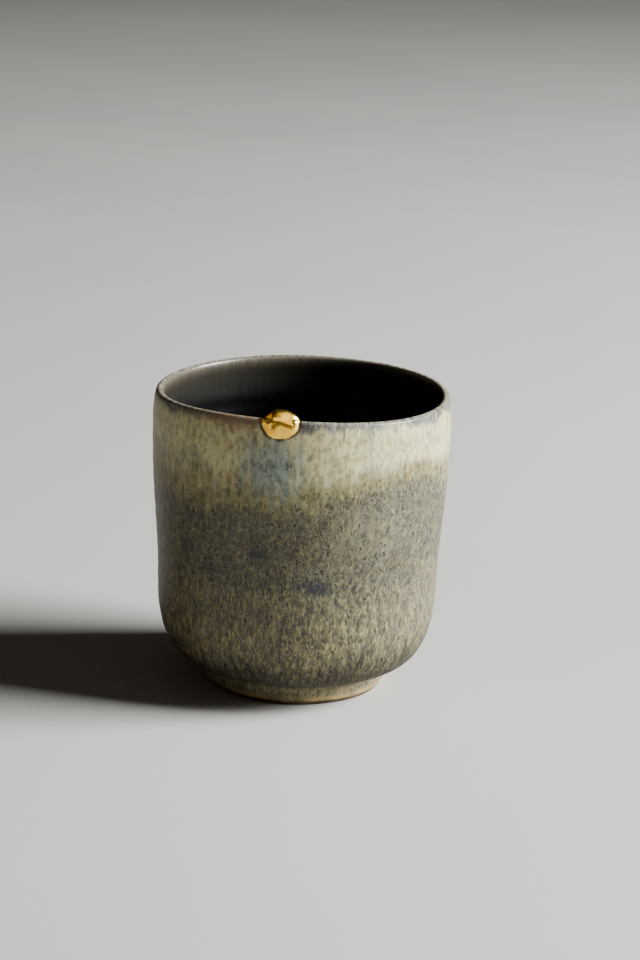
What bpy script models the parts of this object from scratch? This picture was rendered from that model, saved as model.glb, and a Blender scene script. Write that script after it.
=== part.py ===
# Kintsugi matcha cup: a hand-thrown stoneware cup on a turned foot ring, with a
# chip in its rim that is filled by a nugget of gold-finished lacquer.
# Metres, +Z up. The origin is on the table under the middle of the foot ring,
# and the front of the cup, where the repair sits, faces -Y.

import math

import bmesh
import bpy
from mathutils import Vector

# Outside of the cup
rim_height = 0.0804              # crest of the lip above the table, before the hand-thrown wave
mouth_radius = 0.0389            # outer edge of the lip
mouth_taper = 0.21               # how far the wall draws in per metre of height at the mouth
belly_radius = 0.0395            # widest ring of the wall
belly_below_rim = 0.0150
waist_radius = 0.03755           # where the shoulder has run into the wall
waist_height = 0.0281
shoulder_fullness = 2.36         # exponent of the shoulder's curve: 2 is an ellipse, more is squarer

# Foot
foot_height = 0.0065             # table to the flat underside of the shoulder
collar_radius = 0.0249           # top of the foot's side, in the groove under the shoulder
groove_width = 0.0007            # fillet between the collar and the shoulder's underside
arris_radius = 0.0242            # glazed edge above the foot's bevel
arris_height = 0.0016
contact_radius = 0.0231          # outer edge of the face that stands on the table
foot_ring_width = 0.0034
foot_ring_splay = 0.0008         # how far the inside of the ring draws in up to the recess
recess_depth = 0.0030

# Inside of the cup
lip_thickness = 0.0021
lip_rise = 0.0009                # height of the lip's rounded top
belly_wall = 0.0027
waist_wall = 0.0035
floor_thickness = 0.0055
well_radius = 0.0175             # flat middle of the floor inside
well_dish = 0.0004               # how far the floor's middle sinks below its edge
well_fullness = 2.2

# Hand-thrown wave of the rim, which fades to nothing at the foot
oval_wave = 0.00053              # two crests around the rim
oval_wave_bearing = math.radians(72)
ripple_wave = 0.00024            # three crests around the rim
ripple_wave_bearing = math.radians(12)
wave_fade = 3                    # power of the height with which the wave grows

# Gold repair
nugget_width = 0.0101            # along the rim
nugget_height = 0.0079
nugget_rise = 0.0027             # how far it stands above the lip
nugget_proud_outside = 0.0018
nugget_proud_inside = 0.0014
nugget_bearing = math.radians(-97.4)
seat_clearance = 0.0003          # between the nugget and the chip that it fills
nugget_squareness = 2.4          # exponent of its outline: 2 is an ellipsoid, more is squarer
facet_sharpness = 14             # how crisply the nugget's flats meet
tail_length = 0.09               # point of its left end, in half widths
tail_spread = 0.35
crease_depth = 0.12              # dent across its outer face, in half depths
crease_spread = 0.16
crease_length = 0.55

# Fineness of the solids
turn_segments = 84
shoulder_steps = 9
wall_steps = 6
mouth_steps = 3
lip_steps = 6
nugget_segments = 28
nugget_rings = 16

glaze_colour = (0.33, 0.29, 0.20, 1.0)
gold_colour = (0.80, 0.52, 0.17, 1.0)

wall_top_height = rim_height - lip_rise
belly_height = wall_top_height - belly_below_rim
shoulder_start_radius = collar_radius + groove_width
floor_height = recess_depth + floor_thickness


def clear_scene():
    for old_object in list(bpy.data.objects):
        bpy.data.objects.remove(old_object, do_unlink=True)


def make_material(name, colour, roughness, metallic):
    material = bpy.data.materials.new(name)
    material.use_nodes = True
    shader = material.node_tree.nodes["Principled BSDF"]
    shader.inputs["Base Color"].default_value = colour
    shader.inputs["Roughness"].default_value = roughness
    shader.inputs["Metallic"].default_value = metallic
    return material


# A cubic from one radius to the next, with the slope given at its upper end.
def eased_radius(height, low, high, low_radius, high_radius, high_slope=0.0):
    span = high - low
    t = (height - low) / span
    ease = t * t * (3 - 2 * t)
    return low_radius + (high_radius - low_radius) * ease + high_slope * span * t * t * (t - 1)


# A superellipse quarter that leaves the floor flat and joins the wall upright.
def rounded_corner(turn, start_radius, start_height, end_radius, end_height, fullness):
    out = math.sin(turn) ** (2 / fullness)
    up = 1 - math.cos(turn) ** (2 / fullness)
    radius = start_radius + (end_radius - start_radius) * out
    return radius, start_height + (end_height - start_height) * up


def outer_wall_radius(height):
    if height < belly_height:
        return eased_radius(height, waist_height, belly_height, waist_radius, belly_radius)
    return eased_radius(height, belly_height, wall_top_height, belly_radius, mouth_radius, -mouth_taper)


def inner_wall_radius(height):
    waist_inside = waist_radius - waist_wall
    belly_inside = belly_radius - belly_wall
    mouth_inside = mouth_radius - lip_thickness
    if height < belly_height:
        return eased_radius(height, waist_height, belly_height, waist_inside, belly_inside)
    return eased_radius(height, belly_height, wall_top_height, belly_inside, mouth_inside, -mouth_taper)


def evenly(low, high, steps):
    return [low + (high - low) * step / steps for step in range(steps + 1)]


def foot_profile():
    ring_inside = contact_radius - foot_ring_width
    recess_radius = ring_inside - foot_ring_splay
    groove_height = foot_height - groove_width
    profile = [(0.0, recess_depth), (recess_radius * 0.5, recess_depth), (recess_radius, recess_depth),
               (ring_inside, 0.0), (contact_radius, 0.0), (arris_radius, arris_height),
               (collar_radius, groove_height)]
    half_way = math.radians(45)
    profile.append((collar_radius + groove_width * (1 - math.cos(half_way)),
                    groove_height + groove_width * math.sin(half_way)))
    return profile


def outside_profile():
    profile = []
    for turn in evenly(0, math.pi / 2, shoulder_steps):
        profile.append(rounded_corner(turn, shoulder_start_radius, foot_height,
                                      waist_radius, waist_height, shoulder_fullness))
    for height in evenly(waist_height, belly_height, wall_steps)[1:]:
        profile.append((outer_wall_radius(height), height))
    for height in evenly(belly_height, wall_top_height, mouth_steps)[1:]:
        profile.append((outer_wall_radius(height), height))
    return profile


def lip_profile():
    half_lip = lip_thickness / 2
    profile = []
    for turn in evenly(0, math.pi, lip_steps)[1:-1]:
        profile.append((mouth_radius - half_lip + half_lip * math.cos(turn),
                        wall_top_height + lip_rise * math.sin(turn)))
    return profile


def inside_profile():
    profile = []
    for height in reversed(evenly(belly_height, wall_top_height, mouth_steps)):
        profile.append((inner_wall_radius(height), height))
    for height in reversed(evenly(waist_height, belly_height, wall_steps)[:-1]):
        profile.append((inner_wall_radius(height), height))
    for turn in reversed(evenly(0, math.pi / 2, shoulder_steps)[:-1]):
        profile.append(rounded_corner(turn, well_radius, floor_height,
                                      waist_radius - waist_wall, waist_height, well_fullness))
    profile.append((well_radius * 0.5, floor_height - well_dish * 0.75))
    profile.append((0.0, floor_height - well_dish))
    return profile


def rim_wave(bearing):
    return (oval_wave * math.cos(2 * (bearing - oval_wave_bearing))
            + ripple_wave * math.cos(3 * (bearing - ripple_wave_bearing)))


def finish_mesh(name, shape):
    shape.normal_update()
    bmesh.ops.recalc_face_normals(shape, faces=shape.faces)
    mesh = bpy.data.meshes.new(name)
    shape.to_mesh(mesh)
    shape.free()
    return mesh


# Turns a profile that starts and ends on the axis into one closed solid.
def turn_profile(name, profile):
    shape = bmesh.new()
    start_pole = shape.verts.new((0, 0, profile[0][1]))
    end_pole = shape.verts.new((0, 0, profile[-1][1]))
    rings = []
    for radius, height in profile[1:-1]:
        ring = []
        for segment in range(turn_segments):
            bearing = 2 * math.pi * segment / turn_segments
            lift = rim_wave(bearing) * (height / rim_height) ** wave_fade
            ring.append(shape.verts.new((radius * math.cos(bearing), radius * math.sin(bearing), height + lift)))
        rings.append(ring)
    for segment in range(turn_segments):
        following = (segment + 1) % turn_segments
        shape.faces.new((start_pole, rings[0][segment], rings[0][following]))
        shape.faces.new((end_pole, rings[-1][following], rings[-1][segment]))
        for lower, upper in zip(rings, rings[1:]):
            shape.faces.new((lower[segment], upper[segment], upper[following], lower[following]))
    return finish_mesh(name, shape)


# Flats of the nugget: a direction (right along the rim, outwards, up) and how far out it cuts,
# in half sizes of the nugget.
nugget_flats = (
    ((-0.10, 0.62, 0.78), 0.84),
    ((0.05, 0.90, -0.44), 0.88),
    ((0.92, 0.36, 0.20), 0.94),
    ((-0.77, 0.05, 0.64), 0.90),
    ((0.60, 0.05, 0.80), 0.96),
    ((0.70, 0.20, -0.68), 0.97),
    ((-0.72, 0.66, -0.20), 0.92),
    ((0.10, -0.86, 0.50), 0.88),
    ((-0.15, -0.92, -0.36), 0.90),
)


def nugget_reach(direction):
    rounding = sum(abs(part) ** nugget_squareness for part in direction) ** (1 / nugget_squareness)
    inverse = rounding ** facet_sharpness
    for normal, distance in nugget_flats:
        facing = direction.dot(Vector(normal).normalized())
        if facing > 0:
            inverse += (facing / distance) ** facet_sharpness
    reach = inverse ** (-1 / facet_sharpness)
    tail_direction = Vector((-1.0, 0.0, 0.18)).normalized()
    reach += tail_length * math.exp(-((direction - tail_direction).length / tail_spread) ** 2)
    if direction.y > 0:
        across = (direction.x - 0.05) / crease_length
        along = (direction.z + 0.10 + 0.15 * direction.x) / crease_spread
        reach -= crease_depth * math.exp(-across * across - along * along)
    return reach


def nugget_frame():
    outward = Vector((math.cos(nugget_bearing), math.sin(nugget_bearing), 0))
    rightward = Vector((-outward.y, outward.x, 0))
    middle_height = rim_height + rim_wave(nugget_bearing) + nugget_rise - nugget_height / 2
    wall_height = min(middle_height, wall_top_height)
    outer_reach = outer_wall_radius(wall_height) + nugget_proud_outside
    inner_reach = inner_wall_radius(wall_height) - nugget_proud_inside
    middle = outward * (outer_reach + inner_reach) / 2
    middle.z = middle_height
    return middle, rightward, outward, (outer_reach - inner_reach) / 2


def nugget_mesh(name, growth):
    middle, rightward, outward, half_depth = nugget_frame()
    half_width = nugget_width / 2
    half_height = nugget_height / 2
    shape = bmesh.new()
    bmesh.ops.create_uvsphere(shape, u_segments=nugget_segments, v_segments=nugget_rings, radius=1.0)
    for vert in shape.verts:
        direction = vert.co.normalized()
        place = direction * nugget_reach(direction)
        local = Vector((place.x * half_width, place.y * half_depth, place.z * half_height))
        local += local.normalized() * growth
        vert.co = middle + rightward * local.x + outward * local.y + Vector((0, 0, local.z))
    return finish_mesh(name, shape)


def add_object(name, mesh, material, sharp_angle):
    part = bpy.data.objects.new(name, mesh)
    bpy.context.scene.collection.objects.link(part)
    if material is not None:
        mesh.materials.append(material)
    mesh.shade_smooth()
    mesh.set_sharp_from_angle(angle=math.radians(sharp_angle))
    return part


def build_cup_body(material):
    profile = foot_profile() + outside_profile() + lip_profile() + inside_profile()
    cup = add_object("cup_body", turn_profile("cup_body", profile), material, 38)
    chip = add_object("chip_cutter", nugget_mesh("chip_cutter", seat_clearance), None, 180)
    chip.hide_render = True
    chip.display_type = "WIRE"
    cut = cup.modifiers.new("rim chip", "BOOLEAN")
    cut.operation = "DIFFERENCE"
    cut.solver = "EXACT"
    cut.object = chip
    return cup


def build_gold_repair(material):
    return add_object("gold_repair", nugget_mesh("gold_repair", 0.0), material, 50)


clear_scene()
build_cup_body(make_material("glazed_stoneware", glaze_colour, 0.5, 0.0))
build_gold_repair(make_material("gold_lacquer", gold_colour, 0.25, 1.0))
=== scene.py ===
import math

import bmesh
import bpy
import numpy as np
from mathutils import Matrix, Vector, noise
from mathutils.bvhtree import BVHTree
from mathutils.kdtree import KDTree


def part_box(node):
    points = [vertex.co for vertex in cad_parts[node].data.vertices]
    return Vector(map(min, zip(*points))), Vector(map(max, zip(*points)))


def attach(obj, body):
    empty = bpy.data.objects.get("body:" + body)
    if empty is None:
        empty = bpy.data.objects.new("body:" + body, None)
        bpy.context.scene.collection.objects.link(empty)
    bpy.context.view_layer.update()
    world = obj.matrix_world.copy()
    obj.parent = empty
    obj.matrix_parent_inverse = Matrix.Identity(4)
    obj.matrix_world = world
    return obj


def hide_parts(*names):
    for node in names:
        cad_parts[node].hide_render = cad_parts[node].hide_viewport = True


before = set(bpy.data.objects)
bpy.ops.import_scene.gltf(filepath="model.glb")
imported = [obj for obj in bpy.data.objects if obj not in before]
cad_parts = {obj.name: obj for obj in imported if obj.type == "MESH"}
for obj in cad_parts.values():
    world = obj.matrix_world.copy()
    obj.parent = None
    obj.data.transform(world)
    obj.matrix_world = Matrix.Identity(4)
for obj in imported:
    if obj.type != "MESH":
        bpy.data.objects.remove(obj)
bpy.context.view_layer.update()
mm = 0.001                       # lengths are in metres, and in mm where a note says so
print("frame loaded:", sorted(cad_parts))


# Small helpers for modelling

def freshStart():
    if bpy.context.object and bpy.context.object.mode != "OBJECT":
        bpy.ops.object.mode_set(mode="OBJECT")
    bpy.ops.object.select_all(action="DESELECT")


def makeActive(piece):
    freshStart()
    piece.select_set(True)
    bpy.context.view_layer.objects.active = piece


def startEditing(piece):
    makeActive(piece)
    bpy.ops.object.mode_set(mode="EDIT")


def pickEdges(piece, wanted):    # selects only the edges for which wanted() is true
    bpy.ops.mesh.select_mode(type="EDGE")
    bpy.ops.mesh.select_all(action="DESELECT")
    shape = bmesh.from_edit_mesh(piece.data)
    for edge in shape.edges:
        if wanted(edge):
            edge.select_set(True)
    bmesh.update_edit_mesh(piece.data)


def readPlaces(piece):
    places = np.empty(len(piece.data.vertices) * 3, np.float32)
    piece.data.vertices.foreach_get("co", places)
    return places.reshape(-1, 3).astype(float)


def readNormals(piece):
    normals = np.empty(len(piece.data.vertices) * 3, np.float32)
    piece.data.vertices.foreach_get("normal", normals)
    return normals.reshape(-1, 3).astype(float)


def writePlaces(piece, places):
    piece.data.vertices.foreach_set("co", places.astype(np.float32).ravel())
    piece.data.update()


seedSteps = (7.3, 3.1, 5.7)      # each seed reads the noise this far from the last one


def cloudAt(points, period, seed, octaves=2):   # soft noise from about -1 to 1, the same on every run
    shift = Vector([seed * step for step in seedSteps])
    return np.array([noise.fractal(Vector(p) / period + shift, 1.0, 2.0, octaves) for p in points])


def easeBetween(value, low, high):
    t = np.clip((value - low) / (high - low), 0, 1)
    return t * t * (3 - 2 * t)


# Small helpers for materials

def screenColour(red, green, blue):   # a colour as given on screen, 0 to 255, taken off the screen's curve
    linear = [((c / 255 + 0.055) / 1.055) ** 2.4 if c > 10 else c / 255 / 12.92 for c in (red, green, blue)]
    return (*linear, 1.0)


def addNode(tree, kind, inputs=None, **settings):
    node = tree.nodes.new(kind)
    for name, value in settings.items():
        setattr(node, name, value)
    for name, value in (inputs or {}).items():
        if isinstance(value, bpy.types.NodeSocket):
            tree.links.new(value, node.inputs[name])
        else:
            node.inputs[name].default_value = value
    return node


def calc(tree, operation, first, second=0.0, clamp=False):
    node = addNode(tree, "ShaderNodeMath", {0: first, 1: second}, operation=operation, use_clamp=clamp)
    return node.outputs[0]


def between(tree, value, low, high, fromValue=0.0, toValue=1.0):   # eases from one value to the other
    inputs = {"Value": value, "From Min": low, "From Max": high, "To Min": fromValue, "To Max": toValue}
    return addNode(tree, "ShaderNodeMapRange", inputs, interpolation_type="SMOOTHSTEP").outputs["Result"]


def stretched(tree, place, period, stretch, shift):
    scale = [1 / (period * s) for s in stretch]
    return addNode(tree, "ShaderNodeMapping", {"Vector": place, "Location": shift, "Scale": scale}).outputs[0]


def grain(tree, place, period, stretch=(1, 1, 1), detail=2.0, rough=0.5, bend=0.0, shift=(0, 0, 0)):
    spot = stretched(tree, place, period, stretch, shift)
    inputs = {"Vector": spot, "Scale": 1.0, "Detail": detail, "Roughness": rough, "Distortion": bend}
    return addNode(tree, "ShaderNodeTexNoise", inputs).outputs["Fac"]


def cells(tree, place, period, shift):
    spot = stretched(tree, place, period, (1, 1, 1), shift)
    return addNode(tree, "ShaderNodeTexVoronoi", {"Vector": spot, "Scale": 1.0})


def grey(value):
    return (value, value, value, 1.0)


def tone(tree, factor, stops):   # a ramp of colours or of greys
    ramp = addNode(tree, "ShaderNodeValToRGB", {"Fac": factor})
    bands = ramp.color_ramp.elements
    while len(bands) < len(stops):
        bands.new(1.0)
    for band, (position, colour) in zip(bands, stops):
        band.position = position
        band.color = colour if hasattr(colour, "__len__") else grey(colour)
    return ramp.outputs["Color"]


def blend(tree, factor, under, over, mode="MIX"):
    node = addNode(tree, "ShaderNodeMix", {0: factor, 6: under, 7: over}, data_type="RGBA", blend_type=mode)
    return node.outputs[2]


def centred(tree, noiseValue, amount):   # swings by half the amount to either side of 0
    return calc(tree, "MULTIPLY", calc(tree, "SUBTRACT", noiseValue, 0.5), amount)


def newMaterial(name):
    material = bpy.data.materials.new(name)
    material.use_nodes = True
    return material, material.node_tree, material.node_tree.nodes["Principled BSDF"]


def addRelief(tree, shader, first, second):   # each is a pattern and its height in mm
    height = calc(tree, "ADD", calc(tree, "MULTIPLY", *first), calc(tree, "MULTIPLY", *second))
    bump = addNode(tree, "ShaderNodeBump", {"Height": height, "Distance": mm, "Strength": 1.0})
    tree.links.new(bump.outputs["Normal"], shader.inputs["Normal"])


# The camera stands where the photograph was taken from, on a long lens

cameraView = {
    "lens": 100.0,               # mm, on a sensor 36 mm along the picture's long side
    "sensor": 36.0,
    "above": 15.51,              # degrees that it looks down
    "roll": 1.98,                # degrees that the cup leans in the picture
    "distance": 0.716,
    "aim": (0.0, 0.0, 0.040),
    "shiftRight": 0.0058,        # the camera stands this far right of the cup's middle
    "shiftUp": 0.0146,           # and this far above it
    "seesFrom": 0.05,
    "seesTo": 20.0,
}


def placeCamera(values):
    down, turn = math.radians(values["above"]), math.radians(values["roll"])
    ahead = Vector((0, math.cos(down), -math.sin(down)))
    level, upright = Vector((1, 0, 0)), Vector((0, math.sin(down), math.cos(down)))
    right = level * math.cos(turn) + upright * math.sin(turn)
    up = upright * math.cos(turn) - level * math.sin(turn)
    place = Vector(values["aim"]) - ahead * values["distance"]
    place += right * values["shiftRight"] + up * values["shiftUp"]
    lens = bpy.data.cameras.new("camera")
    lens.lens, lens.sensor_width = values["lens"], values["sensor"]
    lens.clip_start, lens.clip_end = values["seesFrom"], values["seesTo"]
    camera = bpy.data.objects.new("camera", lens)
    bpy.context.scene.collection.objects.link(camera)
    camera.matrix_world = Matrix.Translation(place) @ Matrix((right, up, -ahead)).transposed().to_4x4()
    bpy.context.scene.camera = camera


placeCamera(cameraView)
print("camera placed")


# Plain pale floor and soft studio light

studio = {
    "floorSize": 12.0,
    "floorPale": screenColour(200, 195, 187),
    "floorDusk": screenColour(194, 189, 182),
    "floorMottle": 0.25,
    "floorTones": (0.3, 0.7),
    "floorRoughness": 0.75,
    "lights": {                  # place, size, power, colour
        "key": ((1.62, -0.12, 0.98), (0.9, 0.9), 114.0, (0.90, 0.96, 1.0)),
        "fill": ((-0.9, -1.5, 1.2), (1.4, 1.4), 0.6, (1.0, 0.86, 0.68)),
        "card": ((0.05, -0.70, 0.93), (1.7, 0.6), 3.8, (1.0, 0.97, 0.90)),
        "side": ((-1.25, 0.42, 0.56), (0.9, 0.7), 0.9, (1.0, 0.72, 0.50)),
    },
    "onlyInGloss": ("card", "side"),     # these two are seen only in the gold and the gloss
    "roomColour": (1.0, 0.93, 0.84, 1.0),
    "roomStrength": 0.034,
    "lookAt": (0.0, 0.0, 0.045),
    "filmLook": "AgX - Medium High Contrast",
}


def softLight(name, place, size, power, colour, lookAt):
    bpy.ops.object.light_add(type="AREA", location=place)
    light = bpy.context.object
    light.name = name
    light.data.shape = "RECTANGLE"
    light.data.size, light.data.size_y = size
    light.data.energy, light.data.color = power, colour
    light.rotation_euler = (Vector(lookAt) - Vector(place)).to_track_quat("-Z", "Y").to_euler()
    return light


def buildStudio(values):
    freshStart()
    bpy.ops.mesh.primitive_plane_add(size=values["floorSize"], location=(0, 0, 0))
    floor = bpy.context.object
    floor.name = "floor"
    material, tree, shader = newMaterial("paleFloor")
    spot = addNode(tree, "ShaderNodeTexCoord").outputs["Object"]
    mottle = grain(tree, spot, values["floorMottle"], detail=3.0)
    shade = tone(tree, mottle, list(zip(values["floorTones"], (values["floorDusk"], values["floorPale"]))))
    tree.links.new(shade, shader.inputs["Base Color"])
    shader.inputs["Roughness"].default_value = values["floorRoughness"]
    floor.data.materials.append(material)
    for part, (place, size, power, colour) in values["lights"].items():
        light = softLight(part + "Light", place, size, power, colour, values["lookAt"])
        light.visible_diffuse = part not in values["onlyInGloss"]
    bpy.context.scene.view_settings.look = values["filmLook"]
    world = bpy.data.worlds.new("studioRoom")
    bpy.context.scene.world = world
    world.use_nodes = True
    background = world.node_tree.nodes["Background"]
    background.inputs["Color"].default_value = values["roomColour"]
    background.inputs["Strength"].default_value = values["roomStrength"]


buildStudio(studio)
print("studio built")


# The cup's outline and the wave of its rim are read from the frame

reading = {
    "touch": 0.005 * mm,         # points closer than this to a plane lie on it
    "merge": 0.01 * mm,
    "footTop": 7.0 * mm,         # corners below this height stay corners
    "cornerTurn": math.radians(20),
    "waveFade": 3,               # power of the height with which the rim's wave grows
    "waveTerms": 4,              # most crests round the rim that are kept
    "waveSamples": 168,
    "repairMargin": math.radians(3),
}


def readOutline(node):           # from the middle underneath, round the lip, to the middle of the floor
    shape = bmesh.new()
    shape.from_mesh(node.data)
    bmesh.ops.remove_doubles(shape, verts=shape.verts, dist=reading["merge"])
    touch = reading["touch"]
    column = {v for v in shape.verts if abs(v.co.y) < touch and v.co.x > -touch}
    walk = [max((v for v in column if v.co.x < touch), key=lambda v: v.co.z)]   # the middle of the floor
    while True:
        onward = [e.other_vert(walk[-1]) for e in walk[-1].link_edges]
        onward = [v for v in onward if v in column and v not in walk]
        if not onward:
            break
        walk.append(onward[0])
    outline = [(max(v.co.x, 0.0), v.co.z) for v in reversed(walk)]
    shape.free()
    return [(0.0, outline[0][1]), *outline]


def bearingOf(place):
    return math.atan2(place.y, place.x)


def readWave(node, repair, crest):   # how the crest's height changes round the rim, as a few smooth terms
    bearings = [bearingOf(v.co) for v in repair.data.vertices]
    first, last = min(bearings) - reading["repairMargin"], max(bearings) + reading["repairMargin"]
    samples = np.arange(reading["waveSamples"]) * math.tau / reading["waveSamples"] - math.pi
    known, heights = [], []
    for bearing in samples:
        above = Vector((crest[0] * math.cos(bearing), crest[0] * math.sin(bearing), 2 * crest[1]))
        hit, spot, _, _ = node.ray_cast(above, Vector((0, 0, -1)))
        if hit and not first < bearing < last:
            known.append(bearing)
            heights.append(spot.z)
    level = np.interp(samples, known, heights, period=math.tau)
    return (np.fft.rfft(level) / len(samples))[:reading["waveTerms"] + 1]


def waveHeight(terms, bearing):
    turned = np.multiply.outer(np.asarray(bearing) + math.pi, np.arange(len(terms)))
    waves = terms.real * np.cos(turned) - terms.imag * np.sin(turned)
    return 2 * waves.sum(-1) - waves[..., 0]


bpy.context.view_layer.update()
cadOutline = readOutline(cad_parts["cup_body"])
crestIndex = max(range(len(cadOutline)), key=lambda i: cadOutline[i][1])
crestPoint = cadOutline[crestIndex]
rimWave = readWave(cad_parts["cup_body"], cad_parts["gold_repair"], crestPoint)
repairLow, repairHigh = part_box("gold_repair")
repairMiddle = (Vector(repairLow) + Vector(repairHigh)) / 2
repairBearing = bearingOf(repairMiddle)
print("outline read:", len(cadOutline), "points, crest", round(crestPoint[1] / mm, 2), "mm up, repair at",
      round(math.degrees(repairBearing), 1), "degrees")


# The cup body: its outline drawn point by point, then spun

cupShape = {
    "segments": 340,             # round the cup
    "guideStep": 0.1,            # mm, between the points that measure the run
    "outsideStep": 0.62 * mm,    # between the rings
    "lipStep": 0.25 * mm,
    "insideStep": 1.5 * mm,
    "lipDepth": 2.2 * mm,        # the rings are closer down to here below the crest
    "cornerSoftness": 0.25 * mm,     # glaze and wear round the foot's corners by this much
    "cornerSteps": 3,
    "outsideFrom": (2, 14),      # mm along the outside where its relief starts, and where it is full
    "outsideTo": (1, 6),         # mm below the crest where it ends, and where it is still full
    "insideFrom": (4, 14),       # mm past the crest
    "underFrom": (12, 14),       # mm below 0, underneath
    "throwRise": 0.030,          # mm, throwing rings outside
    "throwSpacing": 5.6,
    "swell": ((1, 1, 0.6), 21, 3),       # stretch, period in mm and seed of the wall's slow unevenness
    "swellRise": 0.09,
    "wander": ((1, 1, 1), 30, 5),        # and of the wander of the rings
    "wanderReach": 0.9,
    "wanderInside": 0.3,         # the part of it that the rings inside have
    "skin": ((1, 1, 0.5), 2.6, 9),       # and of the glaze's own waviness
    "skinRise": 0.012,
    "sink": 0.085,               # mm, so that what rises stays inside the frame's box
    "insideRise": 0.11,          # mm, throwing rings inside
    "insideSpacing": 6.8,
    "toolRise": 0.05,            # mm, turning marks underneath
    "toolSpacing": 1.7,
    "smoothTurn": math.radians(50),
    "gapReach": 6 * mm,          # how far from the repair its nearness is measured
    "chipEasing": 0.2 * mm,      # the chip is cut this much smaller, so no gap shows
}
glazeRadius = 38                 # mm, of the cylinder on which the glaze's patterns lie
spotEdge = (0.25, 1.1)           # parts of a spot's half size between which it fades


def curveThrough(points, stepAt):    # a smooth curve with close steps through the points
    points = np.array(points)
    chord = np.r_[0, np.cumsum(np.linalg.norm(np.diff(points, axis=0), axis=1))]
    slopes = np.gradient(points, chord, axis=0)
    dense = [tuple(points[0])]
    for i in range(len(points) - 1):
        span = chord[i + 1] - chord[i]
        count = max(1, math.ceil(span / stepAt(tuple(points[i]))))
        for t in np.arange(1, count + 1) / count:
            ease, leave, arrive = t * t * (3 - 2 * t), t * (1 - t) ** 2, t * t * (t - 1)
            spot = points[i] * (1 - ease) + points[i + 1] * ease
            spot = spot + span * (slopes[i] * leave + slopes[i + 1] * arrive)
            dense.append(tuple(spot))
    return dense


def drawOutline(points, values):     # the same outline with close steps, and its corners
    def turnAt(i):
        before = Vector(points[i]) - Vector(points[i - 1])
        return before.angle(Vector(points[i + 1]) - Vector(points[i]))

    corners = [i for i in range(1, crestIndex)
               if points[i][1] < reading["footTop"] and turnAt(i) > reading["cornerTurn"]]
    outside = set(points[corners[-1]:crestIndex])

    def stepAt(point):
        if point[1] > crestPoint[1] - values["lipDepth"]:
            return values["lipStep"]
        return values["outsideStep"] if point in outside else values["insideStep"]

    dense = [points[0]]
    for first, last in zip([0, *corners], [*corners, len(points) - 1]):
        dense += curveThrough(points[first:last + 1], stepAt)[1:]
    return dense, [points[i] for i in corners]


class RunGuide:                  # finds how far along the outline a point lies, in mm
    def __init__(self, outline, step):
        ends = np.array(outline) / mm
        spots = [ends[0]]
        for start, end in zip(ends, ends[1:]):
            count = max(1, math.ceil(np.linalg.norm(end - start) / step))
            spots += [start + (end - start) * t for t in np.arange(1, count + 1) / count]
        self.spots = np.array(spots)
        self.runs = np.r_[0, np.cumsum(np.linalg.norm(np.diff(self.spots, axis=0), axis=1))]
        crest = self.spots[:, 1].argmax()
        self.runs += self.spots[crest, 1] - self.runs[crest]     # at the crest the run equals the height
        self.along = np.gradient(self.spots, self.runs, axis=0)
        self.along /= np.linalg.norm(self.along, axis=1)[:, None]
        self.tree = KDTree(len(self.spots))
        for i, spot in enumerate(self.spots):
            self.tree.insert((spot[0], spot[1], 0), i)
        self.tree.balance()

    def measure(self, places):
        flat = np.c_[np.hypot(places[:, 0], places[:, 1]), places[:, 2]] / mm
        near = np.array([self.tree.find((r, z, 0))[1] for r, z in flat])
        return self.runs[near] + ((flat - self.spots[near]) * self.along[near]).sum(1)


def liftRim(places, direction):  # raises or levels the rim's wave
    bearing = np.arctan2(places[:, 1], places[:, 0])
    lift = waveHeight(rimWave, bearing) - crestPoint[1]
    lifted = places.copy()
    lifted[:, 2] += direction * lift * (np.clip(places[:, 2], 0, None) / crestPoint[1]) ** reading["waveFade"]
    return lifted


def chipCutter(values):          # a smaller copy of the repair, which cuts the chip it fills
    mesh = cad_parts["gold_repair"].data.copy()
    cutter = bpy.data.objects.new("chipCutter", mesh)
    bpy.context.scene.collection.objects.link(cutter)
    startEditing(cutter)
    bpy.ops.mesh.select_all(action="SELECT")
    bpy.ops.mesh.remove_doubles(threshold=reading["merge"])
    bpy.ops.mesh.normals_make_consistent(inside=False)
    bpy.ops.object.mode_set(mode="OBJECT")
    writePlaces(cutter, readPlaces(cutter) - readNormals(cutter) * values["chipEasing"])
    return cutter


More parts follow.
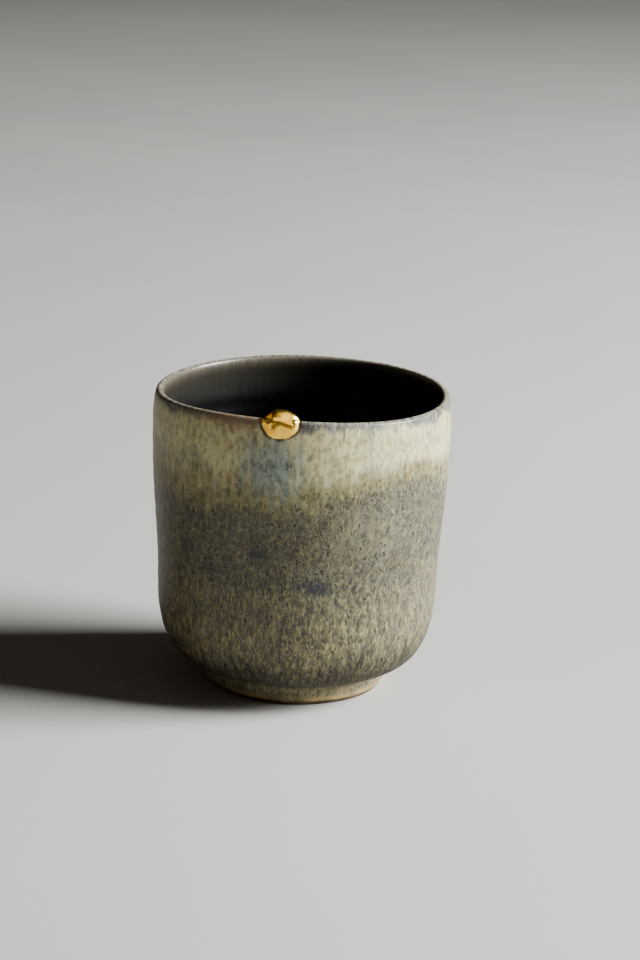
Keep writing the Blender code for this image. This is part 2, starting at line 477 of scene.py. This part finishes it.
def buildCupBody(values):
    outline, corners = drawOutline(cadOutline, values)
    guide = RunGuide(outline, values["guideStep"])
    cornerRuns = guide.measure(np.array([(r, 0, z) for r, z in corners]))
    freshStart()
    bpy.ops.mesh.primitive_plane_add(size=1 * mm, location=(outline[0][0], 0, outline[0][1]))
    cup = bpy.context.object
    cup.name = "glazedCup"
    bpy.ops.object.transform_apply(location=True, rotation=True, scale=True)
    bpy.ops.object.mode_set(mode="EDIT")
    bpy.ops.mesh.select_mode(type="VERT")
    bpy.ops.mesh.select_all(action="SELECT")
    bpy.ops.mesh.merge(type="CENTER")
    for before, after in zip(outline, outline[1:]):
        step = (after[0] - before[0], 0, after[1] - before[1])
        bpy.ops.mesh.extrude_region_move(TRANSFORM_OT_translate={"value": step})
    bpy.ops.mesh.select_all(action="SELECT")
    bpy.ops.mesh.spin(steps=values["segments"], angle=math.tau, center=(0, 0, 0), axis=(0, 0, 1))
    bpy.ops.mesh.select_all(action="SELECT")
    bpy.ops.mesh.remove_doubles(threshold=reading["merge"])
    bpy.ops.mesh.normals_make_consistent(inside=False)

    def onCorner(point):
        radius = math.hypot(point.x, point.y)
        return any(math.hypot(radius - r, point.z - z) < reading["merge"] for r, z in corners)

    pickEdges(cup, lambda edge: all(onCorner(v.co) for v in edge.verts))
    bpy.ops.mesh.bevel(offset=values["cornerSoftness"], segments=values["cornerSteps"], affect="EDGES")
    bpy.ops.object.mode_set(mode="OBJECT")
    print("cup spun:", len(cup.data.vertices), "points,", len(corners), "corners")

    writePlaces(cup, liftRim(readPlaces(cup), 1))
    places, normals = readPlaces(cup), readNormals(cup)
    runs = guide.measure(liftRim(places, -1))
    crest = crestPoint[1] / mm
    fromTop = easeBetween(crest - runs, *values["outsideTo"])
    outside = easeBetween(runs, *values["outsideFrom"]) * fromTop
    inside = easeBetween(runs - crest, *values["insideFrom"])
    under = easeBetween(-runs, *values["underFrom"])
    mmPlaces = places / mm

    def unevenness(stretch, period, seed):
        return cloudAt(mmPlaces * stretch, period, seed)

    swell, skin = unevenness(*values["swell"]), unevenness(*values["skin"])
    wander = unevenness(*values["wander"]) * values["wanderReach"]
    rings = np.sin(math.tau * (runs / values["throwSpacing"] + wander))
    insideRings = np.sin(math.tau * (runs / values["insideSpacing"] + wander * values["wanderInside"]))
    toolMarks = np.sin(math.tau * runs / values["toolSpacing"])
    rise = outside * (rings * values["throwRise"] + swell * values["swellRise"] + skin * values["skinRise"]
                      - values["sink"])
    rise += inside * insideRings * values["insideRise"] + under * toolMarks * values["toolRise"]
    writePlaces(cup, places + normals * rise[:, None] * mm)
    print("cup given its throwing rings")

    cutter = chipCutter(values)
    makeActive(cup)
    chip = cup.modifiers.new("chip", "BOOLEAN")
    chip.operation, chip.solver, chip.object = "DIFFERENCE", "EXACT", cutter
    bpy.ops.object.modifier_apply(modifier="chip")
    bpy.data.objects.remove(cutter)
    bpy.ops.object.shade_smooth_by_angle(angle=values["smoothTurn"])

    places = readPlaces(cup)
    runs = guide.measure(liftRim(places, -1))
    bearing = np.arctan2(places[:, 1], places[:, 0])
    glazePlace = np.c_[glazeRadius * np.cos(bearing), glazeRadius * np.sin(bearing), runs]
    repair = BVHTree.FromObject(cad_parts["gold_repair"], bpy.context.evaluated_depsgraph_get())
    reach = values["gapReach"]
    gaps = [(repair.find_nearest(Vector(p), reach)[3] or reach) / mm for p in places]
    gap = cup.data.attributes.new("repairGap", "FLOAT", "POINT")
    gap.data.foreach_set("value", gaps)
    attribute = cup.data.attributes.new("glazePlace", "FLOAT_VECTOR", "POINT")
    attribute.data.foreach_set("vector", glazePlace.astype(np.float32).ravel())
    return cup, cornerRuns


cup, footMarks = buildCupBody(cupShape)
print("cup body modelled:", len(cup.data.polygons), "faces, foot corners at", np.round(footMarks, 2))


# The cup's glaze. Heights are in mm along the outside: 80 at the lip's crest, more inside, below 0 underneath

glaze = {
    "crest": 80.4,               # mm, from which the edges near the lip are measured
    "noise": {                   # width in mm, stretch, detail, roughness, bend, shift
        "wander": (16, (1, 1, 1), 2.0, 0.5, 0.0, (0, 0, 0)),
        "runStreak": (1.4, (1, 1, 7), 3.0, 0.6, 0.0, (4, 2, 0)),
        "fleck": (1.2, (1, 1, 1.7), 3.0, 0.6, 0.5, (3, 17, 9)),
        "fur": (1.2, (1, 1, 4.5), 3.0, 0.65, 0.3, (13, 7, 2)),
        "fine": (0.48, (1, 1, 1.4), 1.0, 0.5, 0.0, (5, 1, 7)),
        "cloudy": (6, (1, 1, 0.8), 3.0, 0.6, 0.0, (8, 3, 1)),
        "drift": (3.2, (1, 1, 1.3), 2.0, 0.5, 0.0, (6, 6, 3)),
        "strand": (0.72, (1, 1, 2.6), 3.0, 0.6, 0.5, (31, 7, 3)),
        "drawnSpeck": (1.05, (1, 1, 3), 3.0, 0.6, 0.6, (4, 7, 21)),
        "roundSpeck": (1.05, (1, 1, 1.5), 3.0, 0.6, 0.6, (9, 27, 5)),
        "drip": (1.1, (1, 1, 9), 3.0, 0.65, 0.0, (9, 1, 2)),
        "slowDrip": (7, (1, 1, 4), 1.0, 0.5, 0.0, (2, 8, 1)),
        "footMottle": (1.1, (1, 1, 1), 3.0, 0.65, 0.4, (2, 5, 11)),
    },
    "wanderReach": 15,           # mm by which slow noise and streaks move the zones up and down
    "streakReach": 13,
    "risings": [(-45, 61, 30, 12, 5.0)],     # bearing, height, half width, half height, mm that zones rise
    "furZone": (24, 40, 0.75, 0.15),         # heights where fur gives way to flecks, and its share at both
    "fineShare": 0.16,
    "cloudShare": 0.34,
    "clearings": [               # paler places: bearing, height, half width, half height, strength
        (-58, 51, 17, 9, 0.09), (-100, 51, 13, 5, 0.03), (100, 52, 18, 7, 0.05),
    ],
    "clearingWaver": 1.2,
    "shoulderZone": [(0.28, screenColour(36, 30, 25)), (0.50, screenColour(51, 44, 34)),
                     (0.72, screenColour(84, 75, 54))],
    "lowZone": [(0.26, screenColour(62, 54, 50)), (0.42, screenColour(101, 93, 80)),
                (0.52, screenColour(123, 115, 94)), (0.62, screenColour(146, 138, 108)),
                (0.76, screenColour(176, 168, 131))],
    "midZone": [(0.25, screenColour(57, 52, 48)), (0.42, screenColour(92, 87, 74)),
                (0.53, screenColour(110, 105, 90)), (0.64, screenColour(130, 125, 106)),
                (0.78, screenColour(160, 154, 128))],
    "warmZone": [(0.26, screenColour(88, 78, 58)), (0.42, screenColour(136, 124, 88)),
                 (0.54, screenColour(162, 152, 110)), (0.72, screenColour(190, 181, 142))],
    "creamZone": [(0.24, screenColour(140, 131, 94)), (0.38, screenColour(190, 184, 146)),
                  (0.55, screenColour(210, 206, 174)), (0.75, screenColour(219, 216, 192))],
    "meetings": [                # heights between which a zone takes over from the one below it
        ((8, 21), "lowZone"), ((31, 38), "midZone"), ((54, 60), "warmZone"), ((60, 68), "creamZone"),
    ],
    "hueDrift": [(0.36, screenColour(145, 133, 112)), (0.50, screenColour(128, 127, 124)),
                 (0.64, screenColour(118, 122, 121))],
    "hueShare": 0.55,
    # grey of the glaze's dark smudges, and of a painted shade on the right flank
    "smudgeAndShade": screenColour(58, 58, 60),
    "smudgesAndShade": [                 # as for the clearings; all are glaze smudges but the last, which is a painted shade
        (-105, 45, 3.8, 2.2, 0.92), (-124, 38, 6, 3, 0.40), (-81.5, 36.6, 5.2, 2.9, 0.95),
        (-139, 43, 3, 4, 0.35), (-100, 36.5, 22, 3.8, 0.60), (-62, 35, 12, 3, 0.30), (-88, 55, 3, 2, 0.30),
        (-96, 68, 3.5, 6, 0.30), (-112, 29, 5, 3, 0.28), (60, 40, 14, 4, 0.35), (140, 46, 10, 3, 0.35),
        # painted shade, dulling the right flank where the key light falls brightest
        (-8, 40, 12, 12, 0.22),
    ],
    "smudgeAndShadeWaver": 2.0,
    "core": screenColour(54, 55, 62),        # over the specks, in the middle of the darkest smudges
    "cores": [
        (-81.5, 35.7, 4.2, 2.2, 0.72), (-105, 44.4, 3.2, 1.7, 0.60), (-126, 38, 3.6, 1.8, 0.45),
        (-139, 43, 2.4, 2.6, 0.40),
    ],
    "coreWaver": 1.1,
    "fullHeight": 90,            # the shares below are given at heights as parts of this
    "strand": screenColour(170, 160, 114),
    "strandCut": (0.54, 0.62),
    "strandShare": [(0.10, 0.1), (0.22, 0.72), (0.36, 0.55), (0.44, 0.2), (0.58, 0.25), (0.66, 0.5),
                    (0.76, 0.1)],
    "speck": screenColour(54, 47, 38),
    "speckCut": (0.575, 0.62),
    "speckShare": [(0.08, 0.4), (0.20, 0.75), (0.40, 0.85), (0.60, 0.85), (0.70, 0.40), (0.78, 0.10)],
    "speckEdge": screenColour(162, 155, 122),
    "speckEdgeFrom": (0.50, 0.54),
    "speckEdgeTo": (0.55, 0.58),
    "speckEdgeShare": 0.5,
    "bloom": [(0.26, screenColour(66, 70, 68)), (0.40, screenColour(112, 122, 117)),
              (0.54, screenColour(144, 155, 148)), (0.72, screenColour(166, 172, 158))],
    "bloomSpot": (-101, 67.5, 10.5, 11.5),   # bearing, height, half width, half height
    "bloomWaver": 1.4,
    "bloomShare": 0.85,
    "pin": screenColour(22, 18, 16),
    "pinSpacing": 2.6,
    "pinSize": 0.24,             # parts of the spacing, for the widest
    "pinRarity": 0.12,           # taken off each, so that only some show
    "pinShare": 0.85,
    "pinTop": (-8, -5),          # mm from the crest, as are the rim's, the lip's and the mouth's edges
    "rimBand": [(0.32, screenColour(58, 53, 51)), (0.50, screenColour(101, 95, 90)),
                (0.68, screenColour(152, 148, 138))],
    "rimEdge": (-3.6, -1.8),
    "rimReach": 5,               # mm that the drips move the rim's edge
    "rimShare": 0.95,
    "rimGrain": 0.4,
    "drip": screenColour(92, 88, 80),
    "drips": [                   # as for the clearings
        (-73.7, 76.8, 0.45, 3.4, 0.75), (-62, 77.4, 0.35, 2.2, 0.6), (-86, 77.6, 0.4, 2.0, 0.5),
        (-52, 77.2, 0.5, 2.6, 0.5), (-108, 77, 0.5, 2.2, 0.4), (40, 77, 0.5, 3, 0.6),
        (120, 77.2, 0.4, 2.5, 0.6),
    ],
    "dripWaver": 0.8,
    "lip": screenColour(178, 167, 143),
    "lipEdge": (-1.3, -0.5),
    "lipBack": (-0.1, 0.7),
    "lipReach": 1.4,
    "lipPatches": (0.38, 0.6, 0.1, 0.8),
    "stain": screenColour(152, 122, 98),
    "stainSpot": (-117, 79.0, 14, 4.2),
    "stainWaver": 1.6,
    "stainShare": 0.7,
    # the lip's pale glaze running inside, then painted light on the upper inside wall, fading to the black
    # glaze further down
    "mouth": [(0.0, screenColour(112, 104, 88)), (0.10, screenColour(84, 77, 66)),
              (0.26, screenColour(66, 61, 54)), (0.60, screenColour(46, 44, 40)),
              (1.0, screenColour(13, 12, 12))],
    "mouthEdge": (-0.1, 0.9),
    "mouthTop": 0.6,             # mm past the crest where the mouth's shades start
    "mouthDepth": 12.0,          # mm from there down the inside to full black
    "mouthReach": 2.4,
    "mouthGrain": 0.6,
    "seam": screenColour(72, 55, 40),
    "seamEdge": (0.1, 0.7, 0.8, 0.0),        # mm from the repair, and the share at both
    "seamWaver": 1.2,
    "footBand": [(0.30, screenColour(92, 84, 66)), (0.50, screenColour(134, 124, 98)),
                 (0.70, screenColour(168, 156, 126))],
    "footWaver": 0.8,            # mm
    "footCloud": 0.5,
    "bandEdge": 1.4,             # mm over which the band ends below the foot's upper corner
    # painted shade, multiplied into the groove above the foot's upper corner, where glaze also pools
    "groove": screenColour(150, 140, 124),
    "grooveRise": 0.7,           # mm above that corner
    "grooveFade": (0.2, 3.2, 0.9, 0.0),
    "arris": screenColour(182, 154, 102),
    "arrisRise": 0.15,           # mm above the foot's lower corner
    "arrisFade": (0.1, 1.1, 0.9, 0.0),
    "arrisWaver": 0.9,
    "arrisPatches": (0.38, 0.6, 0.25, 1.0),
    "bareEdge": (-0.9, -0.4),    # mm from the lower corner
    "bareClay": screenColour(112, 93, 68),
    "rawEdge": screenColour(84, 66, 46),
    "clayShades": (0.35, 0.62),
    "clayCloud": 6.0 * mm,
    "clayGrit": 0.6 * mm,
    "gritShare": 0.35,
    "roughness": [(0.3, 0.36), (0.5, 0.46), (0.7, 0.54)],
    "footRoughness": 0.66,
    "footRoughTo": (8, 24),      # heights between which the rougher foot ends
    "mouthRoughness": 0.3,
    "reliefFleck": 0.05,         # mm
    "reliefFine": 0.015,
}


def spotOn(tree, place, bearing, height, wide, tall, waver=None):   # 1 in the middle of a spot, 0 outside it
    turn = math.radians(bearing)
    middle = (glazeRadius * math.cos(turn), glazeRadius * math.sin(turn), height)
    inputs = {"Vector": place, "Location": middle, "Scale": (wide, wide, tall)}
    inner = addNode(tree, "ShaderNodeMapping", inputs, vector_type="TEXTURE").outputs[0]
    distance = addNode(tree, "ShaderNodeVectorMath", {0: inner}, operation="LENGTH").outputs["Value"]
    if waver:
        distance = calc(tree, "ADD", distance, waver)
    return between(tree, distance, *spotEdge, 1.0, 0.0)


def shared(tree, share, first, second):      # a share of the first, and the rest of the second
    rest = calc(tree, "SUBTRACT", 1.0, share)
    return calc(tree, "ADD", calc(tree, "MULTIPLY", first, share), calc(tree, "MULTIPLY", second, rest))


def painted(tree, colour, factor, strength, over):
    return blend(tree, calc(tree, "MULTIPLY", factor, strength), colour, over)


def spotted(tree, colour, place, spots, waver, over):
    for *spot, strength in spots:
        colour = painted(tree, colour, spotOn(tree, place, *spot, waver), strength, over)
    return colour


def zoneLevel(tree, values, place, height, noises):    # the glaze ran, so its zones meet in streaks
    level = calc(tree, "ADD", height, centred(tree, noises["wander"], values["wanderReach"]))
    level = calc(tree, "ADD", level, centred(tree, noises["runStreak"], values["streakReach"]))
    for *spot, rise in values["risings"]:
        level = calc(tree, "SUBTRACT", level, calc(tree, "MULTIPLY", spotOn(tree, place, *spot), rise))
    return level


def fleckShade(tree, values, place, flecks, noises):   # picks a shade from the palette of each zone
    shade = calc(tree, "ADD", flecks, centred(tree, noises["fine"], values["fineShare"]))
    shade = calc(tree, "ADD", shade, centred(tree, noises["cloudy"], values["cloudShare"]))
    waver = centred(tree, noises["fleck"], values["clearingWaver"])
    for *spot, strength in values["clearings"]:
        shade = calc(tree, "ADD", shade, calc(tree, "MULTIPLY", spotOn(tree, place, *spot, waver), strength))
    return shade


def paintZones(tree, values, place, level, shade, noises):
    colour = tone(tree, shade, values["shoulderZone"])
    for heights, zone in values["meetings"]:
        colour = blend(tree, between(tree, level, *heights), colour, tone(tree, shade, values[zone]))
    hue = tone(tree, noises["drift"], values["hueDrift"])
    colour = blend(tree, values["hueShare"], colour, hue, "OVERLAY")
    waver = centred(tree, noises["fleck"], values["smudgeAndShadeWaver"])
    return spotted(tree, colour, place, values["smudgesAndShade"], waver, values["smudgeAndShade"])


def paintSpecks(tree, values, colour, level, isLow, noises):    # ochre strands, and pale-edged dark specks
    part = calc(tree, "DIVIDE", level, values["fullHeight"], clamp=True)
    strands = between(tree, noises["strand"], *values["strandCut"])
    colour = painted(tree, colour, strands, tone(tree, part, values["strandShare"]), values["strand"])
    speckNoise = shared(tree, isLow, noises["drawnSpeck"], noises["roundSpeck"])
    speckShare = tone(tree, part, values["speckShare"])
    paleEdge = calc(tree, "MULTIPLY", between(tree, speckNoise, *values["speckEdgeFrom"]),
                    between(tree, speckNoise, *values["speckEdgeTo"], 1.0, 0.0))
    edgeShare = calc(tree, "MULTIPLY", speckShare, values["speckEdgeShare"])
    colour = painted(tree, colour, paleEdge, edgeShare, values["speckEdge"])
    specks = between(tree, speckNoise, *values["speckCut"])
    return painted(tree, colour, specks, speckShare, values["speck"])


def paintCores(tree, values, colour, place, noises):
    waver = centred(tree, noises["fleck"], values["coreWaver"])
    return spotted(tree, colour, place, values["cores"], waver, values["core"])


def paintBloom(tree, values, colour, place, shade, noises):     # blue-grey below the repair
    waver = centred(tree, noises["runStreak"], values["bloomWaver"])
    bloom = spotOn(tree, place, *values["bloomSpot"], waver)
    return painted(tree, colour, bloom, values["bloomShare"], tone(tree, shade, values["bloom"]))


def paintPinholes(tree, values, colour, place, height):
    holes = cells(tree, place, values["pinSpacing"], shift=(1, 4, 2))
    chance = addNode(tree, "ShaderNodeSeparateColor", {0: holes.outputs["Color"]}).outputs[0]
    size = calc(tree, "SUBTRACT", calc(tree, "MULTIPLY", chance, values["pinSize"]), values["pinRarity"])
    isHole = calc(tree, "LESS_THAN", holes.outputs["Distance"], size)
    low, high = values["pinTop"]
    onWall = between(tree, height, values["crest"] + low, values["crest"] + high, 1.0, 0.0)
    return painted(tree, colour, isHole, calc(tree, "MULTIPLY", onWall, values["pinShare"]), values["pin"])


def fromCrest(values, edge):     # an edge given from the crest, as heights
    return [values["crest"] + value for value in values[edge]]


def paintRim(tree, values, colour, place, height, noises):      # its thin edge, where the glaze has run off
    fine, drip = noises["fine"], noises["drip"]
    reach = values["rimReach"]
    sag = calc(tree, "ADD", centred(tree, drip, reach), centred(tree, noises["slowDrip"], reach))
    rim = between(tree, calc(tree, "ADD", height, sag), *fromCrest(values, "rimEdge"))
    rimShade = tone(tree, calc(tree, "ADD", drip, centred(tree, fine, values["rimGrain"])), values["rimBand"])
    colour = painted(tree, colour, rim, values["rimShare"], rimShade)
    waver = centred(tree, fine, values["dripWaver"])
    colour = spotted(tree, colour, place, values["drips"], waver, values["drip"])
    lipLevel = calc(tree, "ADD", height, centred(tree, drip, values["lipReach"]))
    lip = calc(tree, "MULTIPLY", between(tree, lipLevel, *fromCrest(values, "lipEdge")),
               between(tree, height, *fromCrest(values, "lipBack"), 1.0, 0.0))
    colour = painted(tree, colour, lip, between(tree, noises["fleck"], *values["lipPatches"]), values["lip"])
    waver = centred(tree, noises["fleck"], values["stainWaver"])
    stain = spotOn(tree, place, *values["stainSpot"], waver)
    return painted(tree, colour, stain, values["stainShare"], values["stain"])


# the inside: the lip's pale glaze and painted light below it, fading to black
def paintMouthAndLight(tree, values, colour, height, isInside, noises):
    sag = calc(tree, "ADD", centred(tree, noises["drip"], values["mouthReach"]),
               centred(tree, noises["fine"], values["mouthGrain"]))
    past = calc(tree, "SUBTRACT", calc(tree, "ADD", height, sag), values["crest"] + values["mouthTop"])
    run = calc(tree, "DIVIDE", past, values["mouthDepth"], clamp=True)
    return blend(tree, isInside, colour, tone(tree, run, values["mouth"]))


def paintSeam(tree, values, colour, noises):   # lacquer showing round the repair
    gap = addNode(tree, "ShaderNodeAttribute", attribute_name="repairGap").outputs["Fac"]
    level = calc(tree, "ADD", gap, centred(tree, noises["fleck"], values["seamWaver"]))
    return blend(tree, between(tree, level, *values["seamEdge"]), colour, values["seam"])


def bareClay(tree, values):
    place = addNode(tree, "ShaderNodeTexCoord").outputs["Object"]
    cloud = grain(tree, place, values["clayCloud"], detail=3.0, rough=0.6)
    grit = grain(tree, place, values["clayGrit"], detail=2.0)
    shade = calc(tree, "ADD", cloud, centred(tree, grit, values["gritShare"]))
    return blend(tree, between(tree, shade, *values["clayShades"]), values["rawEdge"], values["bareClay"])


def paintFoot(tree, values, colour, height, footMarks, noises):
    lowerCorner, upperCorner = footMarks[-2:]
    cloudy = noises["cloudy"]
    cloud = centred(tree, cloudy, values["footCloud"])
    level = calc(tree, "ADD", height, centred(tree, cloudy, values["footWaver"]))

    def away(fromLevel, middle):
        return calc(tree, "ABSOLUTE", calc(tree, "SUBTRACT", fromLevel, middle))

    # an ochre band under a groove darkened with painted shade, where glaze also pools
    band = between(tree, level, upperCorner - values["bandEdge"], upperCorner, 1.0, 0.0)
    mottle = calc(tree, "ADD", noises["footMottle"], cloud)
    colour = blend(tree, band, colour, tone(tree, mottle, values["footBand"]))
    # painted shade in the groove
    groove = between(tree, away(level, upperCorner + values["grooveRise"]), *values["grooveFade"])
    colour = blend(tree, groove, colour, values["groove"], "MULTIPLY")

    # a bright worn arris, and bare clay where it stands
    arrisLevel = calc(tree, "ADD", level, centred(tree, noises["fine"], values["arrisWaver"]))
    arris = between(tree, away(arrisLevel, lowerCorner + values["arrisRise"]), *values["arrisFade"])
    patches = between(tree, calc(tree, "ADD", noises["wander"], cloud), *values["arrisPatches"])
    colour = painted(tree, colour, arris, patches, values["arris"])
    low, high = values["bareEdge"]
    isBare = between(tree, level, lowerCorner + low, lowerCorner + high, 1.0, 0.0)
    return blend(tree, isBare, colour, bareClay(tree, values))


def glazeMaterial(values, footMarks):
    material, tree, shader = newMaterial("ashGlaze")
    place = addNode(tree, "ShaderNodeAttribute", attribute_name="glazePlace").outputs["Vector"]
    height = addNode(tree, "ShaderNodeSeparateXYZ", {0: place}).outputs["Z"]
    noises = {name: grain(tree, place, *numbers) for name, numbers in values["noise"].items()}
    level = zoneLevel(tree, values, place, height, noises)
    isLow = between(tree, level, *values["furZone"])
    flecks = shared(tree, isLow, noises["fur"], noises["fleck"])
    shade = fleckShade(tree, values, place, flecks, noises)
    isInside = between(tree, height, *fromCrest(values, "mouthEdge"))

    colour = paintZones(tree, values, place, level, shade, noises)
    colour = paintSpecks(tree, values, colour, level, isLow, noises)
    colour = paintCores(tree, values, colour, place, noises)
    colour = paintBloom(tree, values, colour, place, shade, noises)
    colour = paintPinholes(tree, values, colour, place, height)
    colour = paintRim(tree, values, colour, place, height, noises)
    colour = paintMouthAndLight(tree, values, colour, height, isInside, noises)
    colour = paintSeam(tree, values, colour, noises)
    colour = paintFoot(tree, values, colour, height, footMarks, noises)
    tree.links.new(colour, shader.inputs["Base Color"])

    rough = tone(tree, shade, values["roughness"])
    isFoot = between(tree, level, *values["footRoughTo"], 1.0, 0.0)
    rough = blend(tree, isFoot, rough, grey(values["footRoughness"]))
    rough = blend(tree, isInside, rough, grey(values["mouthRoughness"]))
    tree.links.new(rough, shader.inputs["Roughness"])
    addRelief(tree, shader, (flecks, values["reliefFleck"]), (noises["fine"], values["reliefFine"]))
    return material


cup.data.materials.append(glazeMaterial(glaze, footMarks))
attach(cup, "root")
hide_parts("cup_body")
print("cup glazed")


# The gold repair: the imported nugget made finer, then folded as the real one is

repairShape = {                  # mm to the right of the nugget's middle, outward and up, seen from the front
    "fineness": 3,               # subdivision levels
    "flats": [                   # direction that a burnished flat faces, and its distance from the middle
        ((0.28, 0.79, 0.54), 2.60),
        ((0.70, 0.58, 0.40), 3.76),
        ((-0.06, 0.93, -0.36), 2.42),
        ((-0.62, 0.60, 0.50), 3.24),
    ],
    "flatEdge": 0.16,            # how softly the flats meet the rest
    "proudOut": (1.25, 1.8),     # mm outward where the repair starts to stand proud, and where it does fully
    "proudUp": (1.2, 2.0),       # and upward
    "quadTurn": math.radians(60),        # triangles that turn less than this are joined in pairs
    "burnishing": 8,             # rounds of smoothing
    "burnishForce": 0.5,
    "burnishedFrom": 0.3,        # of standing proud
    "facing": (0.8, 1.5),        # mm outward where the fold and swells start, and where they are full
    "fold": [(-1.6, -0.5, 0.8), (-1.3, 0.5, 1.1), (-0.4, 0.8, 0.9), (0.8, 0.65, 0.65), (1.9, 0.3, 0.45),
             (3.0, -0.1, 0.3)],      # right, up, half width
    "foldDeep": 0.10,
    "swells": [                  # right, up, half width, half height, rise
        (-1.5, 0.2, 0.8, 0.80, -0.15),
        (0.6, -1.6, 2.2, 0.9, 0.08),
    ],
    "hammered": 0.025,           # mm, unevenness of the burnished skin
    "hammeredPeriod": 1.6,
    "hammeredSeed": 4,
}


def nearFold(right, up, path):   # 1 on the fold, fading to 0 over its half width
    nearest = np.zeros(len(right))
    for (x0, y0, wide0), (x1, y1, wide1) in zip(path, path[1:]):
        dx, dy = x1 - x0, y1 - y0
        t = np.clip(((right - x0) * dx + (up - y0) * dy) / (dx * dx + dy * dy), 0, 1)
        away = np.hypot(right - x0 - t * dx, up - y0 - t * dy) / (wide0 + (wide1 - wide0) * t)
        nearest = np.maximum(nearest, np.exp(-away ** 2))
    return nearest


def buildGoldRepair(values):
    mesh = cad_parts["gold_repair"].data.copy()
    nugget = bpy.data.objects.new("goldNugget", mesh)
    bpy.context.scene.collection.objects.link(nugget)
    startEditing(nugget)
    bpy.ops.mesh.select_all(action="SELECT")
    bpy.ops.mesh.remove_doubles(threshold=reading["merge"])
    turn = values["quadTurn"]
    bpy.ops.mesh.tris_convert_to_quads(face_threshold=turn, shape_threshold=turn)
    bpy.ops.mesh.normals_make_consistent(inside=False)
    bpy.ops.object.mode_set(mode="OBJECT")
    finer = nugget.modifiers.new("finer", "SUBSURF")
    finer.levels = finer.render_levels = values["fineness"]
    bpy.ops.object.modifier_apply(modifier="finer")
    bpy.ops.object.shade_smooth()

    places = readPlaces(nugget)
    outward = np.array([math.cos(repairBearing), math.sin(repairBearing), 0])
    sideways = np.array([-outward[1], outward[0], 0])
    axes = np.array([sideways, outward, (0, 0, 1)])
    local = (places - np.array(repairMiddle)) / mm @ axes.T
    proud = np.maximum(easeBetween(local[:, 1], *values["proudOut"]),
                       easeBetween(local[:, 2], *values["proudUp"]))
    for direction, reach in values["flats"]:
        direction = np.array(direction) / np.linalg.norm(direction)
        over = (local @ direction - reach) / values["flatEdge"]
        local -= np.outer(proud * np.logaddexp(0, over) * values["flatEdge"], direction)
    writePlaces(nugget, np.array(repairMiddle) + local @ axes * mm)
    makeActive(nugget)
    nugget.data.vertices.foreach_set("select", proud > values["burnishedFrom"])
    bpy.ops.object.mode_set(mode="EDIT")
    bpy.ops.mesh.vertices_smooth(factor=values["burnishForce"], repeat=values["burnishing"])
    bpy.ops.object.mode_set(mode="OBJECT")
    places, normals = readPlaces(nugget), readNormals(nugget)
    local = (places - np.array(repairMiddle)) / mm @ axes.T
    right, out, up = local.T
    facing = easeBetween(out, *values["facing"])
    fold = nearFold(right, up, values["fold"]) * facing
    rise = -values["foldDeep"] * fold
    for x, y, wide, high, amount in values["swells"]:
        rise += amount * np.exp(-((right - x) / wide) ** 2 - ((up - y) / high) ** 2) * facing
    rise += cloudAt(local, values["hammeredPeriod"], values["hammeredSeed"]) * values["hammered"]
    writePlaces(nugget, places + normals * (rise * proud)[:, None] * mm)
    mark = nugget.data.attributes.new("fold", "FLOAT", "POINT")
    mark.data.foreach_set("value", fold.astype(np.float32))
    return nugget


gold = {
    "bright": screenColour(255, 220, 116),
    "deep": screenColour(241, 182, 86),
    "wear": 2.0 * mm,            # width of the worn patches
    "wearTones": (0.35, 0.58),
    "speckle": 0.35 * mm,
    # brown lacquer showing in the fold, which is also painted shade in the crease
    "lacquer": screenColour(104, 66, 36),
    "lacquerWaver": 2.2,
    "lacquerEdge": (0.35, 0.9),
    "lacquerWithin": (0.05, 0.3),
    "lacquerShare": 0.75,
    "lacquerRoughness": 0.5,
    "roughness": [(0.5, 0.22), (0.9, 0.34)],
    "roughSpeckle": 0.4,
    "reliefSpeckle": 0.003,      # mm
    "reliefWear": 0.015,
}


def goldMaterial(values):
    material, tree, shader = newMaterial("burnishedGold")
    place = addNode(tree, "ShaderNodeTexCoord").outputs["Object"]
    fold = addNode(tree, "ShaderNodeAttribute", attribute_name="fold").outputs["Fac"]
    wear = grain(tree, place, values["wear"], detail=4.0, rough=0.6)
    speckle = grain(tree, place, values["speckle"], detail=2.0, rough=0.6)
    colour = tone(tree, wear, list(zip(values["wearTones"], (values["deep"], values["bright"]))))
    # painted shade in the fold, mottled, with the lacquer showing there
    lacquerShadeLevel = calc(tree, "ADD", fold, centred(tree, speckle, values["lacquerWaver"]))
    inFold = calc(tree, "MULTIPLY", between(tree, lacquerShadeLevel, *values["lacquerEdge"]),
                  between(tree, fold, *values["lacquerWithin"]))
    colour = blend(tree, calc(tree, "MULTIPLY", inFold, values["lacquerShare"]), colour, values["lacquer"])
    tree.links.new(colour, shader.inputs["Base Color"])
    shader.inputs["Metallic"].default_value = 1.0
    mixedWear = calc(tree, "ADD", wear, calc(tree, "MULTIPLY", speckle, values["roughSpeckle"]))
    rough = tone(tree, mixedWear, values["roughness"])
    rough = blend(tree, inFold, rough, grey(values["lacquerRoughness"]))
    tree.links.new(rough, shader.inputs["Roughness"])
    addRelief(tree, shader, (speckle, values["reliefSpeckle"]), (wear, values["reliefWear"]))
    return material


nugget = buildGoldRepair(repairShape)
nugget.data.materials.clear()
nugget.data.materials.append(goldMaterial(gold))
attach(nugget, "root")
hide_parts("gold_repair")
print("gold repair modelled:", len(nugget.data.polygons), "faces")
